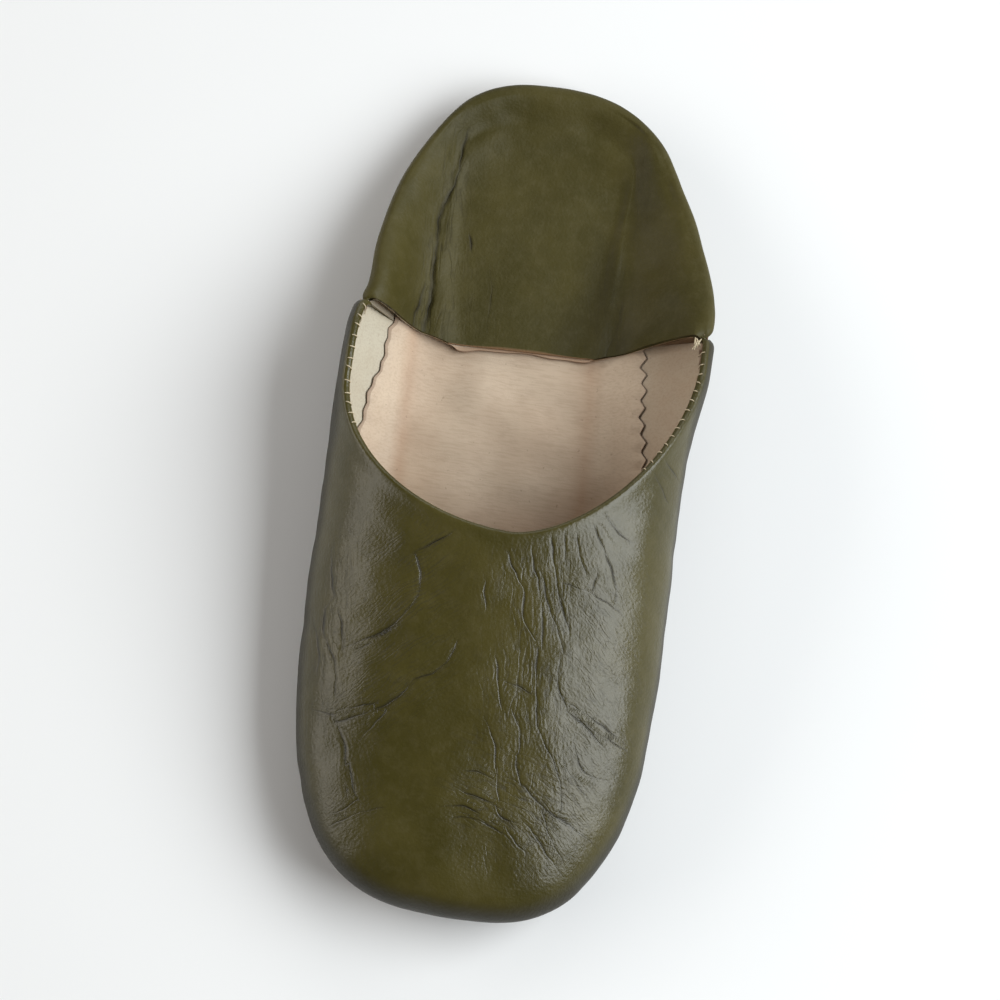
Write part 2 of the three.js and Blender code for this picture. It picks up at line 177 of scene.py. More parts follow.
def down_at(share, height):
    """The wall parameter at which hull() has this height."""
    drop = (column("widest", share) - height) / (column("widest", share) - OUTSOLE - GAP)
    return np.arcsin(np.clip(drop, 0, 1) ** (column("hull", share) / 2)) / (np.pi / 2)


def dome_z(x, y):
    """Height of the vamp's top: widest line plus the rise times a superellipse across the foot."""
    share = share_of(y)
    across = np.clip(np.abs(x - column("centre", share)) / np.maximum(upper_half(share), 1e-6), 0, 1)
    rise = (column("instep", share) - column("widest", share)) * closing(share, "instep_toe")
    return column("widest", share) + rise * (1 - across**DOME) ** (1 / DOME)


def evenly(curve, t):
    """Points of a plan curve at equal steps of its length: its length is summed and inverted."""
    dense = curve(np.linspace(0, 1, 6001))
    run = np.concatenate([[0], np.cumsum(np.hypot(*np.diff(dense, axis=0).T))])
    return np.stack([np.interp(t * run[-1], run, dense[:, i]) for i in (0, 1)], -1)


def vamp_half_outline(s, side):
    """The vamp's outline in plan on one side, from its corner to the toe tip."""
    return upper_edge(mix(CORNER[side] + SEAM_GAP, 1, np.sin(np.pi * s / 2)), side + 0 * s)


def heel_outline(t):
    """The quarter's outline in plan, from the medial corner round the back to the lateral."""
    side = np.where(t < 0.5, -1, 1)
    return upper_edge(mix(by_side(side, CORNER) - SEAM_GAP, 0, np.sin(np.pi * t)), side)


def throat_half(s, side):
    """Half of the throat's edge in plan: an arm beside the topline, then half of a
    superellipse U that crosses the instep."""
    arm_end, bend = THROAT_ARM[side], 2 / THROAT_POWER[side]
    angle = np.clip((s - ARM_PART) / (1 - ARM_PART), 0, 1) * np.pi / 2
    on_arm = mix(CORNER[side] + SEAM_GAP, arm_end, np.clip(s / ARM_PART, 0, 1))
    share = np.where(s < ARM_PART, on_arm, mix(arm_end, THROAT_FRONT, np.sin(angle) ** bend))
    held = np.where(s < ARM_PART, share, arm_end)
    arm_x = column("centre", held) + side * (upper_half(held) - THROAT_INSET)
    x = mix(THROAT_X, arm_x, np.clip(np.cos(angle), 0, 1) ** bend)
    return np.stack([np.where(s < ARM_PART, arm_x, x), y_of(share)], -1)


def half_borders(walked, side):
    """Matching points of throat and outline on one side, and the outline's distance from the
    corner. Beside the arm they have the same y; after it the outline's distance grows from
    there to the tip as a parabola that starts at the throat's own pace."""
    dense = np.linspace(0, 1, 6001)
    edge, out = throat_half(dense, side), vamp_half_outline(dense, side)
    edge_run, out_run = (np.append(0, np.cumsum(np.hypot(*np.diff(c, axis=0).T))) for c in (edge, out))
    throat = np.stack([np.interp(walked * edge_run[-1], edge_run, edge[:, i]) for i in (0, 1)], -1)
    arm = np.interp(ARM_PART, dense, edge_run) / edge_run[-1]
    beside = np.interp(-throat[:, 1], -out[:, 1], out_run)
    start = np.interp(-np.interp(ARM_PART, dense, edge[:, 1]), -out[:, 1], out_run)
    rest = out_run[-1] - start
    part = np.clip((walked - arm) / (1 - arm), 0, 1)
    pace = edge_run[-1] * (1 - arm) / rest
    distance = np.where(walked < arm, beside, start + rest * (pace * part + (1 - pace) * part**2))
    outline = np.stack([np.interp(distance, out_run, out[:, i]) for i in (0, 1)], -1)
    return throat, outline, distance


def vamp_borders(t):
    """half_borders() of both sides for places t, 0 to 1 from corner to corner; columns are
    closer together towards the toe."""
    walked = 1 - np.abs(2 * t - 1)
    walked = walked * (1.3 - 0.3 * walked)
    sides = [half_borders(walked, side) for side in (-1, 1)]
    medial = t < 0.5
    return [np.where(medial[:, None] if a.ndim > 1 else medial, a, b) for a, b in zip(*sides)]


def vamp_outside(t, row):
    """Outside of the vamp. t runs round the foot; row 0 is the throat, 1 the widest line and 2
    the sole seam. Above 1 a plan point goes straight from throat to outline and has the dome's
    height; below 1 it is hull()."""
    start, out, _ = vamp_borders(t)
    side = np.where(t < 0.5, -1.0, 1.0)[:, None]
    reach = np.sin(np.clip(row, 0, 1) * np.pi / 2)[None, :]
    plan = mix(start[:, None], out[:, None], reach[..., None])
    top = np.concatenate([plan, dome_z(plan[..., 0], plan[..., 1])[..., None]], -1)
    share = share_of(out[:, None, 1])
    low = hull(share + 0 * reach, side + 0 * reach, np.clip(row - 1, 0, 1)[None, :])
    return np.where((row > 1)[None, :, None], low, top)


def heel_outside(t, wall_rows, fold_rows, flank_rows, flat_rows):
    """Outside of the heel quarter: hull() upwards, a round fold, then a flap that comes down as
    half a cosine wave to the sock's rim and sags a little inside it."""
    out = evenly(heel_outline, t)
    side = np.where(out[:, 0] < heel_outline(np.array([0.5]))[0, 0], -1.0, 1.0)
    share = share_of(out[:, 1])
    wall = hull(share[:, None] + 0 * wall_rows, side[:, None] + 0 * wall_rows, 1 - wall_rows[None])
    place = 2 * t - 1
    end = np.stack([place * FOLD_LANDING - 1, y_of(FOLD_FRONT) + place * FOLD_FRONT_LEAN], -1)
    way = end - out
    length = np.hypot(way[:, 0], way[:, 1])
    across = way[:, 0] / length
    to_valley = (np.abs(out[:, 0]) - by_side(side, FOLD_VALLEY)) / np.maximum(np.abs(across), 0.35)
    flat = (to_valley + FOLD_SHORTEST + np.hypot(to_valley - FOLD_SHORTEST, FOLD_SOFT)) / 2
    flat = flat[:, None]
    walked = np.concatenate([
        FOLD_RADIUS * (1 - np.cos(fold_rows * np.pi / 2))[None] + 0 * flat,
        mix(FOLD_RADIUS, flat, flank_rows[None]),
        mix(flat, length[:, None], flat_rows[None]),
    ], 1)
    part = walked / length[:, None]
    x = out[:, :1] + way[:, :1] * part
    y = out[:, 1:] + way[:, 1:] * mix(part, part**2, across[:, None] ** 2)
    foot = column("widest", share)[:, None]
    drop = ease(1 - (walked - FOLD_RADIUS) / (flat - FOLD_RADIUS))
    sunk = 1 - np.exp(-((np.maximum(0, walked - flat) / FOLD_SAG_RUN) ** 2) * 2)
    flap = FOLD_RIM + (foot + FOLD_RADIUS - FOLD_RIM) * drop - FOLD_SAG * sunk
    crown = foot + np.sqrt(np.maximum(0, FOLD_RADIUS**2 - (FOLD_RADIUS - walked) ** 2))
    z = np.where(walked < FOLD_RADIUS, crown, flap)
    return np.concatenate([wall, np.stack([x, y, z], -1)], 1)


OUTLINE_X = np.array([vamp_half_outline(np.linspace(0, 1, 4001), side)[:, 0] for side in (-1, 1)])
# The upper's outline is centred on x = 0.
SHIFT = np.array([-(OUTLINE_X.max() + OUTLINE_X.min()) / 2, 0.0, 0.0])


# ---- Small maths for surfaces ----

def normals(points):
    """Unit normals of a grid: cross product of its two directions by central differences."""
    cross = np.cross(np.gradient(points, axis=1), np.gradient(points, axis=0))
    return cross / np.maximum(np.linalg.norm(cross, axis=-1, keepdims=True), 1e-9)


def travelled(points):
    """Distance along each row of a grid from its first column."""
    steps = np.linalg.norm(np.diff(points, axis=1), axis=-1)
    return np.concatenate([np.zeros((len(points), 1)), np.cumsum(steps, 1)], 1)


def at_distance(points, run, distance):
    """The points of each row that lie at given distances along it, straight between columns."""
    distance = np.broadcast_to(distance, (len(points), np.shape(distance)[-1]))
    k = (run[:, None, :] <= distance[:, :, None]).sum(-1).clip(1, run.shape[1] - 1)
    low = np.take_along_axis(run, k - 1, 1)
    part = (distance - low) / np.maximum(np.take_along_axis(run, k, 1) - low, 1e-9)
    a = np.take_along_axis(points, (k - 1)[..., None], 1)
    b = np.take_along_axis(points, k[..., None], 1)
    return mix(a, b, part[..., None])


def waves(x, y, length, seed, count=24):
    """Soft seeded noise about 0: plane waves in all directions, a little longer and shorter."""
    draw = np.random.default_rng(seed)
    angle, phase = draw.uniform(0, TAU, count), draw.uniform(0, TAU, count)
    k = TAU / (length * draw.uniform(0.7, 1.6, count))
    total = sum(np.sin(q * (x * np.cos(a) + y * np.sin(a)) + p) for a, p, q in zip(angle, phase, k))
    return total / np.sqrt(count / 2)


def creases(x, y, table, seed):
    """Height of all the creases of a table, and two values that let the finish draw their
    sharp bottoms in bump and in painted shade: the signed distance to the nearest one, and how
    strong it is there. Each crease is a trough of Gauss section along a shallow arc, with a lower
    ridge on both sides; it fades at its ends and wanders a little from its line."""
    height, nearest, strength = 0 * x, 0 * x + 9.0, 0 * x
    draw = np.random.default_rng(seed)
    for x0, y0, x1, y1, bend, depth, width in table:
        length = np.hypot(x1 - x0, y1 - y0)
        dx, dy = (x1 - x0) / length, (y1 - y0) / length
        along = (x - x0) * dx + (y - y0) * dy
        part = np.clip(along / length, 0, 1)
        wander = 0.30 * np.sin(along * draw.uniform(0.22, 0.38) + draw.uniform(0, TAU))
        wander += 0.12 * np.sin(along * draw.uniform(0.8, 1.3) + draw.uniform(0, TAU))
        away = -(x - x0) * dy + (y - y0) * dx - 4 * bend * part * (1 - part) + wander
        fade = np.exp(-(np.maximum(0, np.maximum(-along, along - length)) / (2 * width)) ** 2)
        fade = fade * (0.35 + 0.65 * np.sin(np.pi * part) ** 0.5)
        fade = fade * (0.8 + 0.35 * np.sin(along * draw.uniform(0.35, 0.6) + draw.uniform(0, TAU)))
        q = away / width
        ridge = np.exp(-(((q - 1.9) / 0.9) ** 2)) + np.exp(-(((q + 1.9) / 0.9) ** 2))
        height += depth * fade * (0.18 * ridge - 0.95 * np.exp(-(q**2)))
        here = fade * np.exp(-((away / 2.0) ** 2)) * ease(depth / 0.16)
        nearest = np.where(here > strength, away, nearest)
        strength = np.maximum(strength, here)
    return height, nearest, strength


def fields(x, y, table):
    """Strength of fine wrinkles: the sum over the table of soft ovals, from 0 to 1."""
    total = sum(strength * np.exp(-((((x - cx) / rx) ** 2 + ((y - cy) / ry) ** 2) ** 1.4))
                for cx, cy, rx, ry, strength in table)
    return np.clip(total, 0, 1)


# ---- Mesh making ----

def make_piece(name, points, quads, caps, material, node, attributes=None):
    """A closed mesh piece, its faces turned outwards, riding on the slipper's one body."""
    flat = points.reshape(-1, 3) + SHIFT
    flat[:, 2] += lift(flat[:, 1])
    faces = quads.reshape(-1, 4)
    a, b, c, d = (flat[faces[:, i]] for i in range(4))
    volume = np.einsum("ij,ij->", a, np.cross(b, c)) + np.einsum("ij,ij->", a, np.cross(c, d))
    faces = faces.tolist() + [list(cap) for cap in caps]
    if volume < 0:
        faces = [face[::-1] for face in faces]
    mesh = bpy.data.meshes.new(name)
    mesh.from_pydata((flat * MM).tolist(), [], faces)
    mesh.validate()
    for key, values in (attributes or {}).items():
        layer = mesh.attributes.new(key, "FLOAT", "POINT")
        layer.data.foreach_set("value", np.asarray(values, np.float32).ravel())
    mesh.shade_smooth()
    mesh.materials.append(material)
    piece = bpy.data.objects.new(name, mesh)
    scene.collection.objects.link(piece)
    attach(piece, "root")
    if node:
        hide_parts(node)


def grid_quads(rows, columns, closed=False):
    """Quads of a grid of points; closed joins its last column to its first."""
    i, k = np.meshgrid(np.arange(rows - 1), np.arange(columns - (0 if closed else 1)), indexing="ij")
    j = (k + 1) % columns
    corners = (i * columns + k, (i + 1) * columns + k, (i + 1) * columns + j, i * columns + j)
    return np.stack(corners, -1)


def sheet_piece(name, face, facing, thickness, step, material, node, attributes):
    """A sheet of leather: its fine face, and a plainer back that lies thickness behind it."""
    columns = face.shape[1]
    back = np.unique(np.append(np.arange(0, columns, step), columns - 1))[::-1]
    behind = (face - facing * thickness)[:, back]
    ring = np.concatenate([face, behind], 1)
    width = ring.shape[1]
    caps = [range(width)[::-1], range((len(ring) - 1) * width, len(ring) * width)]
    carried = {key: np.concatenate([value, value[:, back]], 1) for key, value in attributes.items()}
    quads = grid_quads(len(ring), width, closed=True)
    make_piece(name, ring, quads, caps, material, node, carried)


# ---- Materials ----

class Term:
    """A number socket of one finish; arithmetic on it adds Math nodes to that finish."""

    def __init__(self, finish, socket):
        self.finish, self.socket = finish, socket

    def _join(self, operation, *terms):
        node = self.finish.add("ShaderNodeMath", {"operation": operation}, dict(enumerate(terms)))
        return Term(self.finish, node.outputs[0])

    def __add__(self, other): return self._join("ADD", self, other)
    def __radd__(self, other): return self._join("ADD", other, self)
    def __sub__(self, other): return self._join("SUBTRACT", self, other)
    def __rsub__(self, other): return self._join("SUBTRACT", other, self)
    def __mul__(self, other): return self._join("MULTIPLY", self, other)
    def __rmul__(self, other): return self._join("MULTIPLY", other, self)
    def __truediv__(self, other): return self._join("DIVIDE", self, other)
    def __pow__(self, other): return self._join("POWER", self, other)
    def __abs__(self): return self._join("ABSOLUTE", self)
    def sine(self): return self._join("SINE", self)


class Finish:
    """A material with one Principled shader, and the few calls that build its patterns."""

    def __init__(self, name, **constants):
        self.material = bpy.data.materials.new(name)
        self.material.use_nodes = True
        self.tree = self.material.node_tree
        self.shader = self.tree.nodes["Principled BSDF"]
        for key, value in constants.items():
            self.shader.inputs[key.replace("_", " ")].default_value = value
        self.place = self.add("ShaderNodeTexCoord", {}, {}).outputs["Object"]

    def add(self, kind, settings, inputs):
        """One node: its settings first, then values for or links to its sockets."""
        node = self.tree.nodes.new(kind)
        for key, value in settings.items():
            setattr(node, key, value)
        for key, value in inputs.items():
            value = value.socket if isinstance(value, Term) else value
            if isinstance(value, bpy.types.NodeSocket):
                self.tree.links.new(value, node.inputs[key])
            else:
                node.inputs[key].default_value = value
        return node

    def mapped(self, place, size_mm, turn=0.0):
        """Coordinates turned about Z, then divided by a size along each turned axis."""
        node = self.add("ShaderNodeMapping", {"vector_type": "TEXTURE"}, {
            "Vector": place, "Scale": [s * MM for s in size_mm], "Rotation": (0, 0, np.radians(turn))})
        return node.outputs[0]

    def noise(self, size_mm, detail=2.0, rough=0.5, stretch=(1, 1, 1), turn=0.0):
        """Noise from 0 to 1 with blobs of this size, stretched along turned axes."""
        place = self.mapped(self.place, [size_mm * s for s in stretch], turn)
        node = self.add("ShaderNodeTexNoise", {}, {"Vector": place, "Scale": 1.0,
                                                   "Detail": detail, "Roughness": rough})
        return Term(self, node.outputs["Fac"])

    def warped(self, size_mm, amount_mm):
        """Object coordinates pushed about by coloured noise of a size."""
        place = self.mapped(self.place, [size_mm] * 3)
        node = self.add("ShaderNodeTexNoise", {}, {"Vector": place, "Scale": 1.0, "Detail": 3.0})
        push = self.add("ShaderNodeVectorMath", {"operation": "MULTIPLY_ADD"}, {
            0: node.outputs["Color"], 1: [amount_mm * MM] * 3, 2: self.place})
        return push.outputs[0]

    def folds(self, place, length, spacing, turn, even):
        """Fine folds that run one way, 0 in their valleys and 1 on their ridges: sine waves
        bent by stretched noise, mixed with the thin contour lines of that noise."""
        at = self.mapped(place, (length, spacing * 2, spacing * 2), turn)
        node = self.add("ShaderNodeTexNoise", {}, {"Vector": at, "Scale": 1.0, "Detail": 2.0})
        n = Term(self, node.outputs["Fac"])
        across = Term(self, self.add("ShaderNodeSeparateXYZ", {}, {"Vector": at}).outputs["Y"])
        wave = ((across * 2 + n * 3.2) * TAU).sine() * 0.5 + 0.5
        contour = self.step(abs(n - 0.5), 0.0, 0.075)
        return (wave ** 0.6) * even + contour * (1 - even)

    def cells(self, size_mm):
        """Distance to the nearest cell centre of a Voronoi pattern."""
        node = self.add("ShaderNodeTexVoronoi", {}, {"Vector": self.place, "Scale": 1 / (size_mm * MM)})
        return Term(self, node.outputs["Distance"])

    def attribute(self, name):
        node = self.add("ShaderNodeAttribute", {"attribute_name": name}, {})
        return Term(self, node.outputs["Fac"])

    def step(self, term, low, high):
        """0 below low, 1 above high, smooth between."""
        node = self.add("ShaderNodeMapRange", {"interpolation_type": "SMOOTHSTEP"},
                        {"Value": term, "From Min": low, "From Max": high})
        return Term(self, node.outputs["Result"])

    def blend(self, part, first, second):
        """A colour part of the way from first to second."""
        node = self.add("ShaderNodeMix", {"data_type": "RGBA"}, {"Factor": part, 6: first, 7: second})
        return node.outputs[2]

    def surface(self, colour, roughness, relief):
        """Link what varies; relief is a height in millimetres."""
        self.tree.links.new(colour, self.shader.inputs["Base Color"])
        self.tree.links.new(roughness.socket, self.shader.inputs["Roughness"])
        bump = self.add("ShaderNodeBump", {}, {"Height": relief, "Strength": 1.0, "Distance": MM})
        self.tree.links.new(bump.outputs[0], self.shader.inputs["Normal"])
        return self.material


def tone(red, green, blue):
    """A colour given as 0 to 255 in the usual display coding, as the linear one shaders take."""
    c = np.array([red, green, blue]) / 255
    return (*np.where(c < 0.04045, c / 12.92, ((c + 0.055) / 1.055) ** 2.4), 1.0)


FOLDS = {  # how fine folds run: angle in degrees, length and spacing in mm, relief, evenness
    "medial_fan": (42, 14.0, 1.1, 0.050, 0.8),
    "long_folds": (97, 18.0, 1.4, 0.070, 0.3),
    "lateral_fan": (142, 14.0, 1.1, 0.060, 0.45),
    "toe_folds": (163, 12.0, 1.5, 0.075, 0.25),
}


def olive_leather(name, gloss, shine, folds):
    """Glossy olive leather: fine folds where it bends, a pebble grain, creases with sharp bottoms, a
    slow drift between browner and greener dye; painted shade in fold valleys, crease troughs and bottoms
    and low on the walls, and painted highlight on crease ridges."""
    f = Finish(name, Specular_IOR_Level=shine)
    crease, rim = f.attribute("crease"), f.attribute("rim")
    bottom = (f.attribute("line") + (f.noise(3.0, 2, 0.5) - 0.5) * 0.4) / 0.16
    line = f.attribute("line_strength") / (1 + bottom * bottom * bottom * bottom)
    colour = f.blend(f.step(f.noise(26, 3, 0.6), 0.36, 0.68), tone(60, 54, 9), tone(71, 64, 22))
    colour = f.blend(f.step(f.noise(3.5, 4, 0.7), 0.42, 0.75) * 0.35, colour, tone(84, 77, 46))
    place = f.warped(10.0, 3.0)
    grain = f.noise(0.9, 3, 0.65)
    valleys, relief = 0.0, f.cells(1.0) * 0.05 + grain * 0.09
    for key in folds:
        turn, length, spacing, depth, even = FOLDS[key]
        broken = f.step(f.noise(4.5, 2, 0.6, (2.5, 1, 1), turn), 0.30, 0.58)
        part = f.attribute(key) * broken
        fold = f.folds(place, length, spacing, turn, even)
        valleys = part * (1 - fold) ** 2.0 * 1.3 + valleys
        relief = relief + part * fold * depth
    ripple_place = f.attribute("line") + (f.noise(4.0, 2, 0.5) - 0.5) * 1.5
    ripples = (ripple_place * (TAU / 1.25) + np.pi).sine()
    near = f.attribute("line_strength") ** 0.6
    relief = relief + ripples * near * 0.018
    valleys = valleys + near * (0.5 - ripples * 0.5) ** 2.0 * 0.35
    # Painted shade in the valleys of the fine folds and of the ripples beside creases.
    colour = f.blend(valleys * 0.4, colour, tone(36, 31, 9))
    # Painted shade in crease troughs, and a sharper painted shade line along each crease bottom.
    colour = f.blend(f.step(crease, 0.0, -0.14) * 0.45, colour, tone(36, 31, 10))
    colour = f.blend(line * 0.7, colour, tone(24, 20, 6))
    # Painted highlight on crease ridges.
    colour = f.blend(f.step(crease, 0.02, 0.10) * 0.3, colour, tone(96, 90, 58))
    # Painted shade low on the walls, where the upper turns under (attribute rim).
    colour = f.blend(rim, colour, tone(26, 22, 5))
    colour = f.blend(f.attribute("cut"), colour, tone(146, 112, 82))
    relief = relief - line * 0.12
    roughness = grain * 0.12 + gloss + valleys * 0.1 + rim * 0.25
    return f.surface(colour, roughness, relief)


def natural_leather(name, pale, deep):
    """Undyed sock or lining leather: matte, a darker tan where an attribute says so, partly painted
    shade, with soft stains, specks and a short nap, and painted shade where the attribute edge says so."""
    f = Finish(name, Specular_IOR_Level=0.3)
    colour = f.blend(f.step(f.noise(18, 4, 0.6), 0.3, 0.75) * 0.6, pale, deep)
    # The darker tan: on the sock, tan with painted shade in its bends and painted light on its turned-up
    # sides; on the linings, tan with painted shade on the lateral side.
    colour = f.blend(f.attribute("tan") * (f.noise(7, 4, 0.7) * 0.6 + 0.7), colour, tone(170, 132, 102))
    threads = f.step(f.noise(0.6, 2, 0.6, (9, 1, 1)), 0.42, 0.66) * 0.16
    colour = f.blend(threads, colour, tone(140, 110, 84))
    specks = f.step(f.noise(1.4, 2, 0.5), 0.70, 0.76) * 0.3
    colour = f.blend(specks, colour, tone(108, 80, 58))
    # Painted shade where the attribute edge says so: under the throat's turned edge, at the tip of the
    # heel lining, and along the sock's cut edge, where it is also the brown of the cut.
    colour = f.blend(f.attribute("edge"), colour, tone(84, 52, 32))
    relief = f.noise(0.5, 3, 0.6) * 0.04 + f.noise(3.5, 3, 0.6) * 0.07
    return f.surface(colour, f.noise(7, 2) * 0.15 + 0.52, relief)


def sole_leather(name):
    """Tanned sole leather with scuffs along the sole and a darker edge."""
    f = Finish(name, Specular_IOR_Level=0.35)
    colour = f.blend(f.noise(30, 4, 0.6), tone(176, 134, 92), tone(140, 100, 64))
    scuffs = f.step(f.noise(1.6, 3, 0.6, (1, 12, 1), 8), 0.6, 0.72) * 0.5
    colour = f.blend(scuffs, colour, tone(104, 74, 48))
    colour = f.blend(f.attribute("edge") * 0.8, colour, tone(84, 54, 32))
    relief = f.noise(0.6, 3, 0.6) * 0.06 + f.noise(5, 3, 0.6) * 0.1 - scuffs * 0.06
    return f.surface(colour, f.noise(9, 2) * 0.2 + 0.5, relief)


def thread(name):
    """Waxed cream thread, a little uneven in colour, gloss and surface."""
    f = Finish(name, Specular_IOR_Level=0.4)
    colour = f.blend(f.noise(1.2, 2), tone(214, 200, 172), tone(176, 158, 126))
    return f.surface(colour, f.noise(1.0, 2) * 0.2 + 0.5, f.noise(0.25, 2) * 0.05)


olive_vamp = olive_leather("olive leather, vamp", 0.26, 0.5, FOLDS)
olive_quarter = olive_leather("olive leather, heel quarter", 0.52, 0.3, ("long_folds",))
sock_finish = natural_leather("sock leather", tone(206, 186, 162), tone(184, 160, 136))
lining_finish = natural_leather("lining leather", tone(194, 186, 166), tone(180, 168, 146))
sole_finish = sole_leather("sole leather")
thread_finish = thread("thread")

# ---- Vamp ----

# Creases: from x0, y0 to x1, y1 in plan, bend of the arc, depth and half width, all in mm.
VAMP_CREASES = (
    (15, -9, 19, -33, -2.0, 0.21, 0.51),
    (19, -33, 25, -48, -0.6, 0.19, 0.51),
    (10, -25, 14, -35, -1.0, 0.14, 0.50),
    (14, -35, 19, -56, -0.1, 0.16, 0.54),
    (13, -30, 24, -53, -0.4, 0.15, 0.50),
    (18, -9, 20, -27, -0.5, 0.14, 0.50),
    (27, -2, 38, -18, -3.0, 0.19, 0.54),
    (27, -17, 37, -36, 1.6, 0.17, 0.54),
    (23, -20, 27, -30, -1.1, 0.12, 0.50),
    (21, -34, 39, -38, 0.2, 0.11, 0.50),
    (30, -30, 31, -36, -0.9, 0.11, 0.50),
    (4, -29, 10, -39, -0.2, 0.14, 0.50),
    (10, -39, 16, -52, -1.6, 0.17, 0.54),
    (16, -52, 19, -72, 0.3, 0.16, 0.54),
    (5, -59, 9, -72, 0.1, 0.16, 0.54),
    (7, -64, 17, -67, 0.1, 0.15, 0.54),
    (24, -57, 28, -69, -1.7, 0.16, 0.54),
    (28, -68, 41, -77, -0.5, 0.21, 0.61),
    (28, -67, 46, -74, -0.3, 0.16, 0.54),
    (26, -68, 47, -76, -1.3, 0.14, 0.54),
    (12, -73, 16, -84, 1.7, 0.16, 0.50),
    (5, -76, 10, -91, 1.2, 0.14, 0.54),
    (19, -70, 26, -84, -1.2, 0.15, 0.54),
    (26, -84, 31, -98, 0.8, 0.16, 0.54),
    (31, -98, 41, -104, -0.9, 0.17, 0.54),
    (32, -79, 43, -86, -2.8, 0.15, 0.54),
    (30, -84, 37, -92, -0.3, 0.14, 0.50),
    (15, -84, 19, -93, -0.6, 0.16, 0.54),
    (19, -93, 39, -103, -0.8, 0.21, 0.61),
    (0, -96, 12, -99, -0.6, 0.15, 0.50),
    (12, -99, 19, -103, -1.6, 0.16, 0.50),
    (-3, -102, 8, -103, 1.3, 0.15, 0.50),
    (1, -105, 15, -107, 1.7, 0.15, 0.50),
    (14, -102, 22, -110, -1.1, 0.16, 0.50),
    (21, -103, 34, -115, 0.3, 0.16, 0.54),
    (25, -98, 34, -111, -0.6, 0.14, 0.54),
    (2, -91, 11, -93, 0.6, 0.14, 0.50),
    (10, -88, 13, -98, -0.4, 0.12, 0.50),
    (-39, -61, -20, -45, -2.5, 0.21, 0.58),
    (-20, -45, -23, -33, -1.5, 0.16, 0.54),
    (-35, -61, -24, -53, -0.5, 0.15, 0.50),
    (-23, -33, -12, -24, 0.0, 0.15, 0.54),
    (-38, -82, -17, -68, -2.8, 0.22, 0.61),
    (-17, -68, -7, -56, -2.3, 0.16, 0.54),
    (-38, -79, -24, -74, -0.8, 0.12, 0.50),
    (-29, -86, -23, -76, 0.0, 0.12, 0.50),
    (-47, -32, -44, -46, -0.7, 0.15, 0.54),
    (-44, -46, -44, -60, -2.2, 0.16, 0.54),
    (-44, -60, -39, -74, 1.0, 0.16, 0.54),
    (-43, -49, -39, -62, 0.4, 0.14, 0.50),
    (-49, -52, -45, -69, 0.4, 0.12, 0.50),
    (-39, -80, -31, -103, 1.7, 0.17, 0.54),
    (-32, -92, -27, -105, -0.2, 0.14, 0.50),
    (-45, -79, -38, -80, -0.5, 0.12, 0.50),
    (-35, -108, -27, -103, -0.6, 0.10, 0.50),
    (-34, -111, -20, -105, 0.4, 0.11, 0.50),
    (-1, -37, 0, -45, -0.6, 0.12, 0.50),
    (34, 17, 50, 6, -1.1, 0.16, 0.54),
    (33, 8, 48, -2, 1.0, 0.15, 0.54),
)
# Where the vamp has fine folds: centre x, y, the two radii in mm, and strength.
VAMP_FIELDS = {
    "medial_fan": ((-26, -40, 18, 24, 1.0), (-30, -72, 16, 14, 0.9), (-30, -106, 12, 9, 0.6),
                   (-12, -62, 14, 14, 0.35)),
    "long_folds": ((17, -36, 14, 30, 1.0), (-44, -58, 7, 40, 0.9), (20, -80, 12, 26, 0.8),
                   (2, -30, 12, 12, 0.3), (18, -114, 18, 7, 0.6), (6, -70, 10, 20, 0.4)),
    "lateral_fan": ((38, -74, 13, 26, 1.0), (30, -40, 12, 18, 0.7), (43, -30, 8, 32, 0.45),
                    (28, -104, 14, 14, 1.0), (40, 10, 8, 12, 0.6)),
    "toe_folds": ((12, -99, 17, 11, 1.0), (26, -94, 14, 12, 0.7), (8, -84, 12, 8, 0.5)),
}
ROLL = 1.3  # radius of the throat's turned edge
BAND = 4.0  # how far that edge is turned in
STITCH_PITCH = 3.7  # from stitch to stitch along the throat
SEAM_REACH, SEAM_DEPTH = 3.2, 2.1  # width and depth of a side seam's rounded edge
WALL_ROUND = 0.3  # the part of that depth that is left down on the wall
LAP = 1.6  # how far the vamp's lining laps over a side seam
LINING_TOP = 4.6  # how far in from the throat the vamp's lining starts
LINING_SHADE = 7.6  # how far in from the throat the painted shade under the turned edge reaches


def vamp_swell(x, y):
    """Low swells of the vamp, in mm out of the leather."""
    return 0.16 * waves(x, y, 26, 5, 12) + 0.05 * waves(x, y, 9, 6)


def seam_round(from_seam, reach=SEAM_REACH, depth=SEAM_DEPTH):
    """How far a side seam's edge is rolled in, by distance from it: a quarter circle."""
    part = np.clip(1 - from_seam / reach, 0, 1)
    return depth * (1 - np.sqrt(1 - part**2 * 0.999))


tip = np.linspace(0, 0.006, 9)[:-1]
around = np.concatenate([tip, np.linspace(0.006, 0.994, 404), 1 - tip[::-1]])
rows = np.concatenate([np.linspace(0, 1, 240), 1 + np.linspace(0, 1, 60)[1:]])
dense = vamp_outside(around, rows)
dense_run = travelled(dense)
outside = at_distance(dense, dense_run, dense_run[:, -1:] * np.linspace(0, 1, 188)[None, :])
outward = normals(outside)
run = travelled(outside)
_, outline, from_end = vamp_borders(around)

x, y = outside[..., 0], outside[..., 1]
trough, line, line_strength = creases(x, y, VAMP_CREASES, 3)
quiet = ease(run / 5) * ease((outside[..., 2] - 7) / 8)
edge_bead = 0.44 * np.exp(-((run / 2.6) ** 2))
height = (trough + vamp_swell(x, y) * ease(run / 14)) * quiet + edge_bead
height = height - seam_round(from_end)[:, None] * mix(1, WALL_ROUND, ease(run / 12))
# rim_part sets the painted shade of the vamp's wall: full below the widest line, fading out within 5.5
# mm of the outline above it.
from_outline = np.hypot(x - outline[:, None, 0], y - outline[:, None, 1])
above = outside[..., 2] > column("widest", share_of(outline[:, None, 1]))
rim_part = np.where(above, ease(1 - from_outline / 5.5), 1.0)
skin = outside + outward * height[..., None]

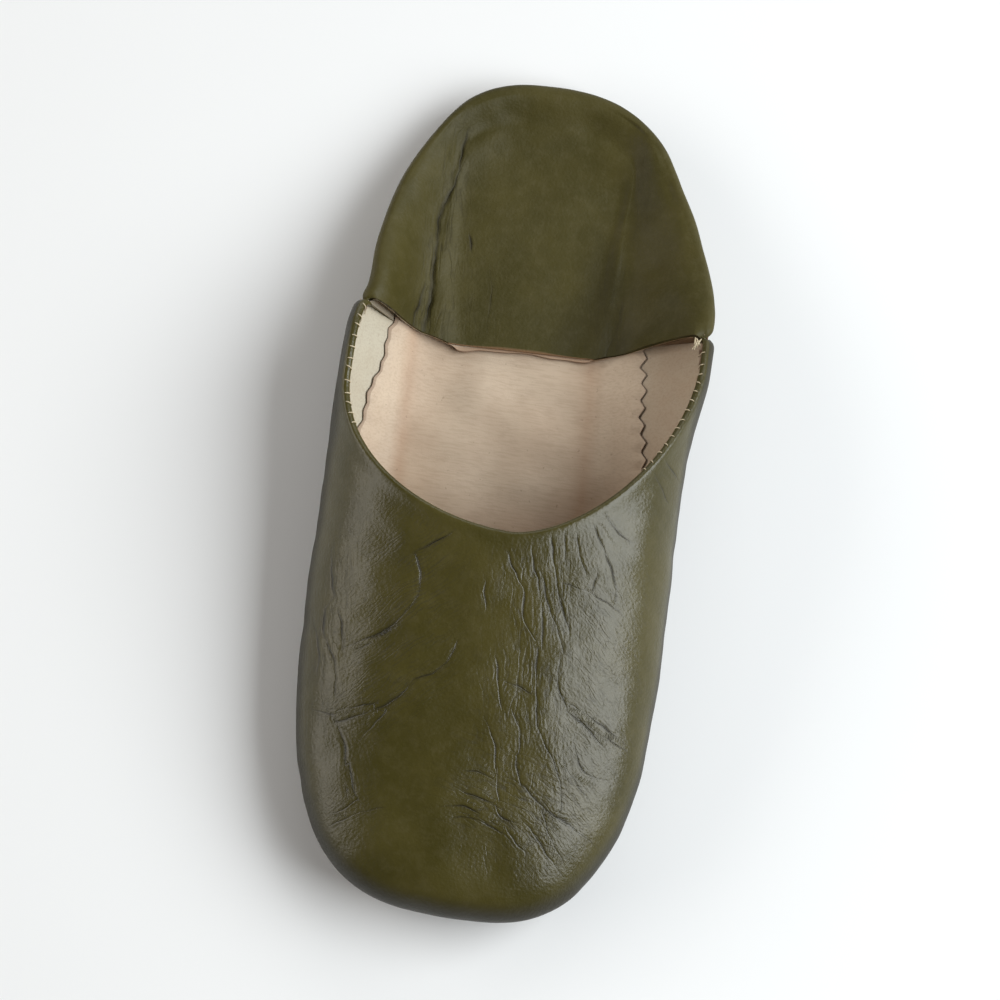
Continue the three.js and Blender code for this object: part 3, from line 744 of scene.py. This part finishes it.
start_normal, into = outward[:, :1], -(outside[:, 1:2] - outside[:, :1])
into /= np.maximum(np.linalg.norm(into, axis=-1, keepdims=True), 1e-9)
turn = np.linspace(0, np.pi, 15)[None, 1:-1, None]
centre = skin[:, :1] - start_normal * ROLL
roll = centre + ROLL * (start_normal * np.cos(turn) + into * np.sin(turn))
roll_normal = start_normal * np.cos(turn) + into * np.sin(turn)
edge_run = travelled(outside[None, :, 0])[0]
puckers = 0.22 * np.cos(TAU * edge_run / STITCH_PITCH)
band_depth = BAND + puckers + 0.3 * waves(edge_run, 0 * edge_run, 17, 8)
band_run = np.linspace(0, 1, 9)[None, 1:] * band_depth[:, None]
band_skin = at_distance(skin, run, band_run)
band_normal = at_distance(outward, run, band_run)
band_gap = 2 * ROLL + 0.12 * np.sin(TAU * edge_run / STITCH_PITCH)[:, None]
band = band_skin - band_normal * band_gap[..., None]
vamp_face = np.concatenate([band[:, ::-1], roll[:, ::-1], skin], 1)
vamp_facing = np.concatenate([-band_normal[:, ::-1], roll_normal[:, ::-1], outward], 1)
extra = vamp_face.shape[1] - skin.shape[1]


def carried(values, fill=0.0):
    """Values of the skin, carried over the turned edge as one plain number."""
    return np.concatenate([np.full((len(values), extra), fill), values], 1)


vamp_values = {"crease": carried(trough * quiet), "line": carried(line, 9.0),
               "line_strength": carried(line_strength * quiet),
               "rim": carried(0.85 * rim_part), "cut": carried(np.zeros_like(trough))}
for key, table in VAMP_FIELDS.items():
    vamp_values[key] = carried(fields(x, y, table) * quiet)
sheet_piece("vamp_leather", vamp_face, vamp_facing, 0.9, 8, olive_vamp, "upper_vamp", vamp_values)

# The vamp's lining: the same surface, a wall's thickness inside, up to the turned edge's end.
lining_around = np.linspace(0.0015, 0.9985, 260)
lining_out = vamp_outside(lining_around, rows[::4])
lining_out_normal = normals(lining_out)
lining_run = travelled(lining_out)
share_down = np.linspace(0, 1, 80)[None, :]
distance = mix(LINING_TOP, lining_run[:, -1:] - 0.4, share_down)
lining = at_distance(lining_out, lining_run, distance)
lining_facing = -at_distance(lining_out_normal, lining_run, distance)
lining_swell = vamp_swell(lining[..., 0], lining[..., 1]) * ease(distance / 14)
lining = lining + lining_facing * (WALL + 0.2 - lining_swell)[..., None]
ragged = 0.5 * waves(lining[..., 0], lining[..., 1], 2.5, 33)
# edge: painted shade on the lining, in a ragged band under the throat's turned edge.
lining_values = {"edge": 0.9 * ease((LINING_SHADE + ragged - distance) / 0.8),
                 # tan: a tan colour with painted shade, growing towards the lateral side.
                 "tan": ease((lining[..., 0] - 20) / 24) * 0.42}


def past_seams(values, step):
    """The lining's rows with two more at either end, that lap over the seams."""
    more = np.array([LAP, LAP / 2]).reshape(2, *[1] * (values.ndim - 1)) * step
    return np.concatenate([values[:1] + more, values, values[-1:] + more[::-1]], 0)


lining = past_seams(lining + lining_facing * 0.1, np.array([0.0, 1.0, 0.0]))
lining_facing = past_seams(lining_facing, np.zeros(3))
lining_values = {key: past_seams(value, 0.0) for key, value in lining_values.items()}
sheet_piece("vamp_lining", lining, lining_facing, 0.5, 6, lining_finish, "upper_vamp", lining_values)

# ---- Heel quarter ----

QUARTER_REACH, QUARTER_DEPTH = 11.0, 1.8  # how the quarter is drawn in to the lateral seam
HEEL_CREASES = (  # as VAMP_CREASES
    (-28, 112, -31, 86, 0.8, 0.20, 0.7),
    (-31, 88, -31, 66, -0.8, 0.34, 0.7),
    (-31.5, 68, -31, 43, 0.6, 0.42, 0.75),
    (-33, 60, -34, 43, -0.4, 0.14, 0.55),
    (-22, 79, -20.5, 75, 0.2, 0.22, 0.6),
    (27, 66, 24, 44, 0.8, 0.06, 0.6),
    (-14, 70, -12, 50, 0.4, 0.06, 0.6),
)
# Soft hollows of the flap: x and y of the middle, half width and half length, lean, depth.
HEEL_HOLLOWS = (
    (24, 56, 7.5, 30, -0.12, 1.3),
    (12, 50, 5.0, 14, 0.05, 0.7),
    (-36, 60, 5.0, 30, 0.02, 0.5),
    (28, 98, 5.0, 20, -0.12, 0.5),
)
# Where the flap has fine folds, as VAMP_FIELDS.
HEEL_FOLDS = ((-29, 64, 7, 26, 1.0), (-30, 98, 5, 18, 0.8), (-16, 56, 9, 16, 0.35),
              (24, 60, 8, 22, 0.45), (27, 98, 5, 14, 0.3))
heel_around = np.concatenate([tip, np.linspace(0.006, 0.994, 360), 1 - tip[::-1]])
wall_rows, fold_rows = np.linspace(0, 1, 22)[:-1], np.linspace(0, 1, 15)[:-1]
heel = heel_outside(heel_around, wall_rows, fold_rows, np.linspace(0, 1, 76)[:-1], np.linspace(0, 1, 86))
heel_normal = normals(heel)
hx, hy = heel[..., 0], heel[..., 1]
on_flap = ease((np.arange(heel.shape[1]) - len(wall_rows) - len(fold_rows)) / 10)[None, :]
heel_trough, heel_line, heel_line_strength = creases(hx, hy, HEEL_CREASES, 13)
heel_swell = (0.30 * waves(hx, hy, 24, 15, 12) + 0.06 * waves(hx, hy, 8, 16)) * (0.3 + 0.7 * on_flap)
heel_length = np.hypot(*np.diff(evenly(heel_outline, heel_around), axis=0).T).sum()
heel_from_end = np.minimum(heel_around, 1 - heel_around) * heel_length
up_wall = ease((heel[..., 2] - 5) / 5)
hollow = np.zeros(hx.shape)
for cx, cy, half, long, lean, depth in HEEL_HOLLOWS:
    away = (hx - cx - lean * (hy - cy)) / half
    hollow += depth * np.exp(-(away**2) - ((hy - cy) / long) ** 2) * on_flap
heel_height = (heel_trough * on_flap + heel_swell - hollow) * up_wall
upper_part = ease((heel[..., 2] - heel[:, -1:, 2].clip(12) - 2) / 8)
drawn_in = seam_round(heel_from_end, QUARTER_REACH, QUARTER_DEPTH) * ease((heel_around - 0.5) * 4)
rounded = seam_round(heel_from_end)[:, None] * mix(WALL_ROUND, 1, upper_part)
rounded = rounded + drawn_in[:, None] * upper_part
heel_height = heel_height - rounded * (1 - on_flap)
heel_skin = heel + heel_normal * heel_height[..., None]
# The hollows go into crease, so the finish paints shade in them as in crease troughs.
heel_values = {"crease": (heel_trough - 0.11 * hollow) * on_flap, "line": heel_line,
               "line_strength": heel_line_strength * on_flap,
               # rim: painted shade low on the wall, off the flap.
               "rim": 0.6 * (1 - on_flap) * ease((14 - heel[..., 2]) / 10),
               "long_folds": fields(hx, hy, HEEL_FOLDS) * on_flap,
               "cut": np.where(np.arange(hx.shape[1]) == hx.shape[1] - 1, 0.9, 0.0) + 0 * hx}
sheet_piece("heel_quarter_leather", heel_skin, heel_normal, 0.95, 8, olive_quarter,
            "upper_heel_quarter", heel_values)

# Its lining: under the leather, and a little longer at the flap's cut edge.
under = heel_skin[::2] - heel_normal[::2] * 0.97
last_step = under[:, -1] - under[:, -4]
last_step /= np.linalg.norm(last_step, axis=-1, keepdims=True)
to_corner = np.abs(2 * heel_around[::2] - 1)[:, None]
peek = 0.7 + 0.3 * waves(under[:, -1, 0], 0 * under[:, -1, 0], 14, 31)[:, None]
peek = peek + 1.5 * ease((to_corner - 0.55) / 0.4)
past = under[:, -1:] + last_step[:, None] * (peek * np.array([[0.35, 0.7, 1.0]]))[..., None]
heel_lining = np.concatenate([under[:, ::2], past], 1)
end_normal = heel_normal[::2, -1:]
heel_lining_normal = np.concatenate([heel_normal[::2, ::2], end_normal, end_normal, end_normal], 1)
# The edge values paint shade: a little where the lining comes out from under the leather, and a shadow
# line at its tip.
lining_tip_shadow = np.zeros(heel_lining.shape[:2])
lining_tip_shadow[:, -3:] = (0.1, 0.0, 0.55)
# Tan with painted shade towards the lateral side; the three rows past the leather's edge take the tan of
# the cut edge.
heel_tan_and_shade = mix(0.12, 0.6, ease((heel_lining[..., 0] + 30) / 60))
heel_tan_and_shade[:, -3:] = 0.7
sheet_piece("heel_quarter_lining", heel_lining, heel_lining_normal, 0.6, 4, lining_finish,
            "upper_heel_quarter", {"edge": lining_tip_shadow, "tan": heel_tan_and_shade})

# ---- Sock and sole ----

def ring_share(c):
    """Share and side at a place round the shoe: heel back, medial side, toe, lateral side."""
    return (1 - np.cos(TAU * c)) / 2, np.where(c % 1 < 0.5, -1.0, 1.0)


def wall_at(c, down):
    """hull() at a place round the shoe."""
    share, side = ring_share(c)
    return hull(share, side, down)


def wall_normal(c, down):
    """Into the shoe: cross product of the wall's differences round and down."""
    step = 1e-4
    round_way = wall_at(c + step, down) - wall_at(c - step, down)
    down_way = wall_at(c, np.minimum(down + step, 1)) - wall_at(c, down - step)
    cross = np.cross(round_way, down_way)
    return cross / np.maximum(np.linalg.norm(cross, axis=-1, keepdims=True), 1e-9)


def middle_line(share):
    """The line that the rings of sock and sole close on."""
    held = np.clip(share, 0.12, 0.86)
    y = LENGTH / 2 - BACK_OVERHANG - held * (LENGTH - BACK_OVERHANG - TOE_OVERHANG)
    return np.stack([column("sole_centre", held), y], -1)


SOCK_RIM = 5.5  # how far in from the wall's foot the sock reaches its floor
TOOTH = 5.4  # one tooth of the sock's zigzag edge, in mm
c = np.linspace(0, 1, 1101)[:, None]
share, side = ring_share(c)
edge_height = np.where(side < 0, column("medial_sock", share), column("lateral_sock", share))
rim_line = wall_at(c, down_at(share, edge_height))[:, 0]
rim_run = travelled(rim_line[None])[0]
teeth = np.round(rim_run[-1] / TOOTH)
saw = np.abs((rim_run * teeth / rim_run[-1]) % 1 * 2 - 1)[:, None]
slack = 0.5 * waves(rim_line[:, 0], rim_line[:, 1], 22, 71)[:, None]
edge_height = edge_height + np.where(side < 0, 0.8, 1.5) * (saw - 0.5) + slack
down = mix(down_at(share, edge_height), 0.985, np.linspace(0, 1, 16)[None, :] ** 1.3)
wall = wall_at(c + 0 * down, down)
facing = wall_normal(c + 0 * down, down)
fall = travelled(wall)
thick = mix(0.45, SOCK, ease(fall / 4))
off = WALL + GAP + thick
sock_wall = wall + facing * off[..., None]
foot = sock_wall[:, -1:]
core = np.concatenate([middle_line(share), foot[..., 2:]], -1)
inward = core - foot
inward_length = np.linalg.norm(inward, axis=-1)
rim_part = SOCK_RIM / inward_length
floor_z = OUTSOLE + GAP + SOCK
steps = np.linspace(0, 1, 13)[None, 1:]
rim = foot + inward * (rim_part * steps)[..., None]
rim[..., 2] = mix(foot[..., 2], floor_z, ease(steps))
floor = foot + inward * mix(rim_part, 1, np.linspace(0, 1, 24)[None, 1:])[..., None]
floor[..., 2] = floor_z
sock_face = np.concatenate([sock_wall, rim, floor], 1)
for _ in range(24):  # round the bend between side and floor
    sock_face[:, 5:-1] = (sock_face[:, 4:-2] + 2 * sock_face[:, 5:-1] + sock_face[:, 6:]) / 4
sock_facing = normals(sock_face)
sock_facing[..., 2] = np.abs(sock_facing[..., 2])
sock_facing[0] = sock_facing[-1] = (0, -0.6, 0.8)
dent = 0.22 * waves(sock_face[..., 0], sock_face[..., 1], 20, 61, 14)
inside_part = np.clip(np.arange(sock_face.shape[1]) / 30, 0, 1)[None, :] ** 1.5
sock_face[..., 2] += dent * inside_part
under_columns = np.unique(np.append(np.arange(0, sock_face.shape[1], 5), sock_face.shape[1] - 1))[::-1]
under_thick = np.concatenate([thick, np.full((len(c), sock_face.shape[1] - thick.shape[1]), SOCK)], 1)
under_sock = sock_face - sock_facing * under_thick[..., None]
ring = np.concatenate([under_sock[:, under_columns], sock_face], 1)
# The sock's edge values: painted shade along its zigzag cut edge, on the brown of the cut.
edge_shade = np.zeros(ring.shape[:2])
first_top = len(under_columns)
edge_shade[:, first_top - 1:first_top + 1] = np.where(side < 0, 0.45, 0.7)
rx, ry = ring[..., 0], ring[..., 1]
medial_bend, lateral_bend = rx + 32.5 + 0.05 * (ry - 20), rx - 23 + 0.07 * (ry - 20)
# Darker tan towards the toe; painted shade in the bends where the sock turns up the walls, and painted
# light, less tan, on the sides beyond them.
sock_tan_and_shade = 0.45 * ease((12 - ry) / 45) + 0.42 * np.exp(-((np.abs(medial_bend) / 2.6) ** 1.5))
sock_tan_and_shade += 0.12 * np.exp(-(((medial_bend - 7) / 6) ** 2)) - 0.3 * ease((-medial_bend - 2) / 5)
sock_tan_and_shade += 0.35 * np.exp(-((np.abs(lateral_bend) / 3.0) ** 1.5)) - 0.12 * ease((lateral_bend - 2) / 6)
sock_tan_and_shade = np.clip(sock_tan_and_shade, 0, 1)
make_piece("sock", ring, grid_quads(len(ring), ring.shape[1]), [], sock_finish, "insole_sock",
           {"edge": edge_shade, "tan": sock_tan_and_shade})

# The outsole: rounded edge profile carried round the outline, closing on the middle line.
c = np.linspace(0, 1, 601)[:, None]
share, side = ring_share(c)
edge = sole_edge(share, side)
core = middle_line(share)
corner = np.linspace(0, np.pi / 2, 7)
profile = np.concatenate([
    np.stack([np.linspace(1, 0.12, 8), np.zeros(8)], -1),
    np.stack([0.8 * (1 - np.sin(corner)), 0.8 * (1 - np.cos(corner))], -1),
    np.stack([0.5 * (1 - np.cos(corner)), OUTSOLE - 0.5 * (1 - np.sin(corner))], -1),
    np.stack([np.linspace(0.12, 1, 8), np.full(8, OUTSOLE)], -1),
])
reach = np.linalg.norm(core - edge, axis=-1)
# Where by_part is 1 the first number is a share of the way to the middle line, else mm.
by_part = np.concatenate([np.ones(8), np.zeros(14), np.ones(8)])[None, :]
part = np.where(by_part > 0, profile[None, :, 0], profile[None, :, 0] / np.maximum(reach, 1e-6))
plan = mix(edge, core, part[..., None])
sole = np.concatenate([plan, np.broadcast_to(profile[None, :, 1:], (*part.shape, 1))], -1)
sole_edge_tone = np.where(by_part > 0, 0.0, 1.0) + 0 * part
make_piece("outsole_leather", sole, grid_quads(*sole.shape[:2]), [], sole_finish, "outsole",
           {"edge": sole_edge_tone})

# ---- Stitches ----

def tubes(paths, radius, sides=6):
    """Round tubes along many short paths at once: rings across each path's direction."""
    along = np.gradient(paths, axis=1)
    along /= np.maximum(np.linalg.norm(along, axis=-1, keepdims=True), 1e-9)
    reference = np.where(np.abs(along[..., 2:]) < 0.9, (0.0, 0.0, 1.0), (1.0, 0.0, 0.0))
    first = np.cross(along, reference)
    first /= np.linalg.norm(first, axis=-1, keepdims=True)
    second = np.cross(along, first)
    angle = np.arange(sides) * TAU / sides
    swell = radius * np.sqrt(1 - np.linspace(-0.97, 0.97, paths.shape[1]) ** 4)[None, :, None, None]
    rings = (paths[:, :, None] + swell * (first[:, :, None] * np.cos(angle)[:, None]
                                         + second[:, :, None] * np.sin(angle)[:, None]))
    count, rungs = paths.shape[:2]
    quads = grid_quads(rungs, sides, closed=True).reshape(-1, 4)
    quads = (quads[None] + (np.arange(count) * rungs * sides)[:, None, None]).reshape(-1, 4)
    base = np.arange(count) * rungs * sides
    caps = [range(b, b + sides)[::-1] for b in base]
    caps += [range(b + (rungs - 1) * sides, b + rungs * sides) for b in base]
    return rings.reshape(-1, 3), quads, caps


STITCH_END, STITCH_LENGTH = 3.0, 8.2  # free length at both corners; how far in a foot lies
TACKS = ((-49.8, 45.6, 27.0), (50.4, 50.2, 27.6))  # places of the two heaps of thread
TACK_STRANDS = 9
draw = np.random.default_rng(11)
places = np.arange(STITCH_END, edge_run[-1] - STITCH_END, STITCH_PITCH)
places = places + draw.uniform(-0.35, 0.35, len(places))
index = np.clip(np.searchsorted(edge_run, places), 1, len(edge_run) - 2)
index = index[skin[index, 0, 1] > 3]
places = edge_run[index]
lean = draw.uniform(-0.2, 0.7, len(places))
arc = np.radians(np.linspace(50, 135, 6))[None, :, None]
over = centre[index] + (ROLL + 0.16) * (start_normal[index] * np.cos(arc) + into[index] * np.sin(arc))
foot_run = STITCH_LENGTH + draw.uniform(-0.5, 0.6, len(places))[:, None]
foot_normal = at_distance(outward[index], run[index], foot_run)
foot_spot = at_distance(skin[index], run[index], foot_run) - foot_normal * (WALL + 0.35)
paths = np.concatenate([over, mix(over[:, -1:], foot_spot, 0.5), foot_spot], 1)
tangent = skin[index + 1, 0] - skin[index - 1, 0]
tangent /= np.linalg.norm(tangent, axis=-1, keepdims=True)
span = np.linspace(-1, 1, paths.shape[1])
paths = paths + tangent[:, None] * (lean[:, None] * span[None, :])[..., None]
points, quads, caps = tubes(paths, 0.2)
make_piece("throat_stitches", points, quads, caps, thread_finish, None)

# Thread tacks where quarter and vamp meet: short loops of thread, heaped on each other.
strands = []
for x, y, z in TACKS:
    for _ in range(TACK_STRANDS):
        turned, rise = draw.uniform(-0.7, 0.7), draw.uniform(0.4, 1.0)
        half = draw.uniform(1.0, 1.9)
        bow = np.linspace(-1, 1, 7)
        strands.append(np.stack([x + draw.uniform(-0.8, 0.8) + half * bow * np.sin(turned),
                                 y + draw.uniform(-0.7, 0.7) + half * bow * np.cos(turned),
                                 z + draw.uniform(-0.3, 0.3) + rise * (1 - bow**2)], -1))
points, quads, caps = tubes(np.array(strands), 0.24)
make_piece("seam_tacks", points, quads, caps, thread_finish, None)

# ---- Stage, light and camera ----

floor_mesh = bpy.data.meshes.new("floor")
floor_mesh.from_pydata([(-3, -3, 0), (3, -3, 0), (3, 3, 0), (-3, 3, 0)], [], [(0, 1, 2, 3)])
floor_object = bpy.data.objects.new("floor", floor_mesh)
scene.collection.objects.link(floor_object)
floor_finish = Finish("pale floor", Base_Color=(0.86, 0.86, 0.85, 1), Roughness=0.8)
floor_mesh.materials.append(floor_finish.material)


def softbox(name, place, aim, size, power, colour=(1, 1, 1)):
    """A rectangular soft light at place, turned to aim."""
    light = bpy.data.lights.new(name, "AREA")
    light.shape, light.size, light.size_y = "RECTANGLE", size[0], size[1]
    light.energy, light.color = power, colour
    lamp = bpy.data.objects.new(name, light)
    lamp.location = place
    lamp.rotation_euler = (Vector(aim) - Vector(place)).to_track_quat("-Z", "Y").to_euler()
    scene.collection.objects.link(lamp)


softbox("lateral window", (1.1, 0.05, 0.98), (0, -0.02, 0.02), (1.5, 1.1), 32, (0.93, 0.97, 1.0))
softbox("medial window", (-1.25, -0.05, 0.58), (0, -0.02, 0.02), (1.6, 0.6), 9.5, (1.0, 0.96, 0.92))
softbox("back window", (0.1, 1.7, 0.9), (0, 0, 0.02), (1.6, 0.6), 7)

world = bpy.data.worlds.new("studio")
world.use_nodes = True
world.node_tree.nodes["Background"].inputs["Color"].default_value = (1.0, 0.99, 0.97, 1)
world.node_tree.nodes["Background"].inputs["Strength"].default_value = 0.13
scene.world = world
scene.view_settings.view_transform = "Standard"

# The camera stands on the toe side, high up and a little to the medial side, and is rolled so
# that the toe points a little to the left of straight down.
camera = bpy.data.objects.new("camera", bpy.data.cameras.new("camera"))
scene.collection.objects.link(camera)
camera.location = (-0.0277, -0.2950, 1.0673)
target = Vector((-0.001, -0.004, 0.0135))
away = (Vector(camera.location) - target).normalized()
up = Vector((-0.1520, 0.9884, 0.0))
right = up.cross(away).normalized()
camera.rotation_euler = Matrix((right, away.cross(right), away)).transposed().to_euler()
camera.data.lens = 131.4
scene.camera = camera
